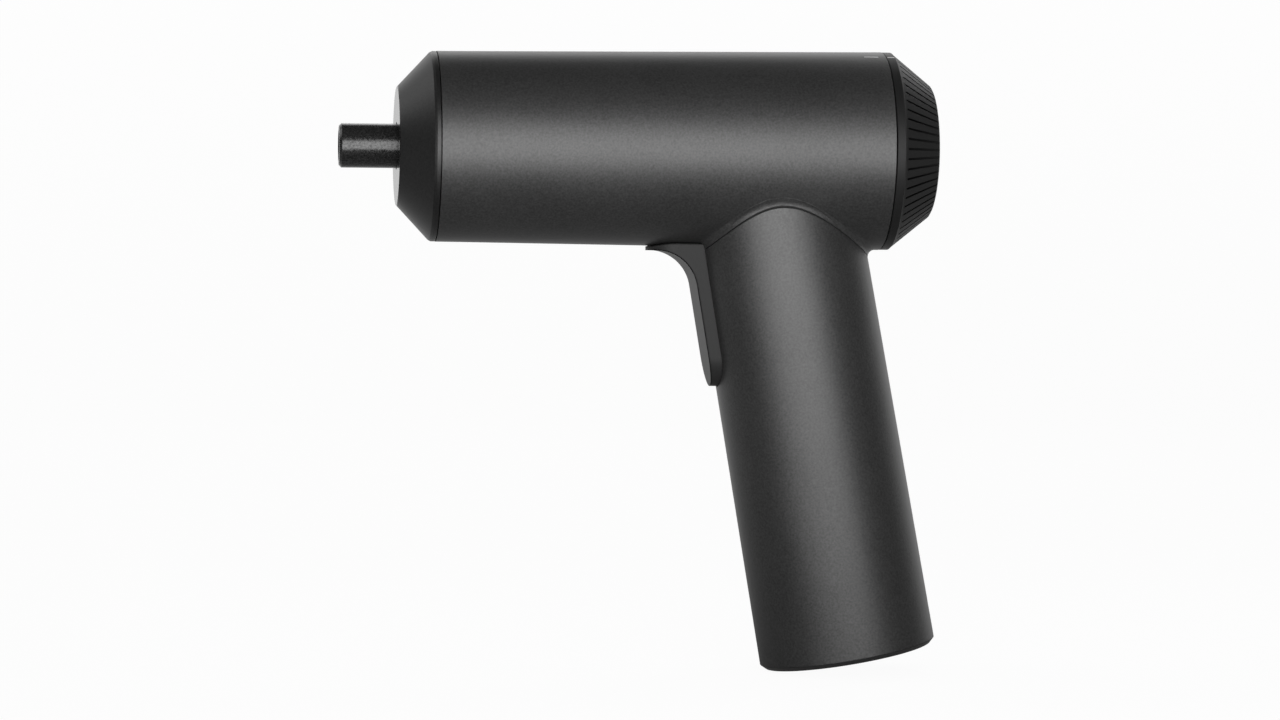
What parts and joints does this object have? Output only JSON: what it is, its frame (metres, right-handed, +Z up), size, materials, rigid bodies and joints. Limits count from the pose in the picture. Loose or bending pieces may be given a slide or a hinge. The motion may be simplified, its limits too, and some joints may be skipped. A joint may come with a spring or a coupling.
{
  "type": "electric screwdriver",
  "caption": "Pistol-grip electric screwdriver with a hexagon bit holder, slide trigger, two-stage planetary gearbox and a ribbed direction dial at the rear.",
  "frame": {"origin": "middle of the bit holder's mouth, on the spindle axis", "axes": "-X out of the bit holder along the spindle, +X towards the direction dial, +Z up away from the handle, +Y across the tool to the side away from the picture"},
  "size_m": [0.1449, 0.0478, 0.1495],
  "materials": {
    "housing_paint": "dark grey metallic matt coat",
    "satin_plastic": "dark grey satin moulding",
    "black_plastic": "black moulding",
    "inner_plastic": "black moulding",
    "gear_case_plastic": "natural nylon",
    "black_steel": "black oxide, polished",
    "steel": "bare steel",
    "plated_steel": "nickel plated",
    "cast_alloy": "die cast",
    "bronze": "sintered bronze",
    "magnet": "plated magnet",
    "armature_steel": "lamination stack",
    "copper": "copper alloy",
    "carbon": "carbon",
    "circuit_board": "solder mask",
    "chip_black": "moulded package",
    "cell_sleeve": "shrink sleeve over a steel can",
    "lead_rubber": "insulated lead",
    "light_pipe": "clear moulding"
  },
  "bodies": {
    "housing": {"barrel_housing": "housing_paint", "handle_housing": "housing_paint", "nose_cap": "satin_plastic", "base_cap": "black_plastic", "neck_sleeve": "inner_plastic", "front_plate": "cast_alloy", "spindle_bush": "bronze", "thrust_washer": "steel", "gear_case": "gear_case_plastic", "gearbox_screws": "steel", "motor_plate": "steel", "plate_screws": "steel", "motor_screws": "steel", "motor_can": "plated_steel", "motor_front_bush": "bronze", "motor_magnets": "magnet", "motor_end_bell": "inner_plastic", "motor_rear_bush": "bronze", "motor_brushes": "carbon", "motor_tags": "copper", "motor_cradle": "inner_plastic", "rear_plate": "inner_plastic", "rear_plate_screws": "steel", "selector_board": "circuit_board", "dial_friction_washer": "steel", "dial_washer": "steel", "dial_screw": "steel", "switch_body": "inner_plastic", "trigger_spring": "steel", "chassis": "inner_plastic", "battery_cell": "cell_sleeve", "battery_tabs": "plated_steel", "main_board": "circuit_board", "board_chips": "chip_black", "usb_shell": "steel", "usb_tongue": "inner_plastic", "charge_light": "light_pipe", "motor_leads": "lead_rubber", "selector_leads": "lead_rubber"},
    "trigger": {"trigger": "satin_plastic", "switch_plunger": "inner_plastic"},
    "dial": {"dial": "black_plastic", "selector_wiper": "copper", "dial_cap": "black_plastic"},
    "spindle": {"bit_spindle": "black_steel", "bit_magnet": "magnet", "output_carrier": "steel", "output_pins": "steel"},
    "output_planet_1": {"output_planet_1": "steel"},
    "output_planet_2": {"output_planet_2": "steel"},
    "output_planet_3": {"output_planet_3": "steel"},
    "input_carrier": {"input_carrier": "steel", "input_pins": "steel"},
    "input_planet_1": {"input_planet_1": "steel"},
    "input_planet_2": {"input_planet_2": "steel"},
    "input_planet_3": {"input_planet_3": "steel"},
    "rotor": {"motor_pinion": "steel", "rotor_shaft": "steel", "armature": "armature_steel", "commutator": "copper"}
  },
  "joints": [
    {"name": "rotor_spin", "type": "hinge", "parent": "housing", "child": "rotor", "pos_m": [0.07, 0, 0], "axis": [1, 0, 0], "continuous": true},
    {"name": "input_carrier_spin", "type": "hinge", "parent": "housing", "child": "input_carrier", "pos_m": [0.0423, 0, 0], "axis": [1, 0, 0], "continuous": true},
    {"name": "spindle_spin", "type": "hinge", "parent": "housing", "child": "spindle", "pos_m": [0.02, 0, 0], "axis": [1, 0, 0], "continuous": true},
    {"name": "input_planet_1_spin", "type": "hinge", "parent": "input_carrier", "child": "input_planet_1", "pos_m": [0.0473, 0, 0.0081], "axis": [1, 0, 0], "continuous": true},
    {"name": "input_planet_2_spin", "type": "hinge", "parent": "input_carrier", "child": "input_planet_2", "pos_m": [0.0473, 0.00702, -0.00405], "axis": [1, 0, 0], "continuous": true},
    {"name": "input_planet_3_spin", "type": "hinge", "parent": "input_carrier", "child": "input_planet_3", "pos_m": [0.0473, -0.00702, -0.00405], "axis": [1, 0, 0], "continuous": true},
    {"name": "output_planet_1_spin", "type": "hinge", "parent": "spindle", "child": "output_planet_1", "pos_m": [0.0365, 0, 0.0081], "axis": [1, 0, 0], "continuous": true},
    {"name": "output_planet_2_spin", "type": "hinge", "parent": "spindle", "child": "output_planet_2", "pos_m": [0.0365, 0.00702, -0.00405], "axis": [1, 0, 0], "continuous": true},
    {"name": "output_planet_3_spin", "type": "hinge", "parent": "spindle", "child": "output_planet_3", "pos_m": [0.0365, -0.00702, -0.00405], "axis": [1, 0, 0], "continuous": true},
    {"name": "trigger_slide", "type": "slide", "parent": "housing", "child": "trigger", "axis": [1, 0, 0], "range_m": [0, 0.0016], "stiffness_N_per_m": 1000, "springref_m": -0.0016, "deforming": ["trigger_spring"]},
    {"name": "dial_turn", "type": "hinge", "parent": "housing", "child": "dial", "pos_m": [0.131, 0, 0], "axis": [1, 0, 0], "range_deg": [-42, 0]}
  ],
  "couplings": [
    {"joint": "input_carrier_spin", "follows": "rotor_spin", "ratio": 0.16667},
    {"joint": "spindle_spin", "follows": "rotor_spin", "ratio": 0.027778},
    {"joint": "input_planet_1_spin", "follows": "rotor_spin", "ratio": -0.41667},
    {"joint": "input_planet_2_spin", "follows": "rotor_spin", "ratio": -0.41667},
    {"joint": "input_planet_3_spin", "follows": "rotor_spin", "ratio": -0.41667},
    {"joint": "output_planet_1_spin", "follows": "rotor_spin", "ratio": -0.069444},
    {"joint": "output_planet_2_spin", "follows": "rotor_spin", "ratio": -0.069444},
    {"joint": "output_planet_3_spin", "follows": "rotor_spin", "ratio": -0.069444}
  ]
}
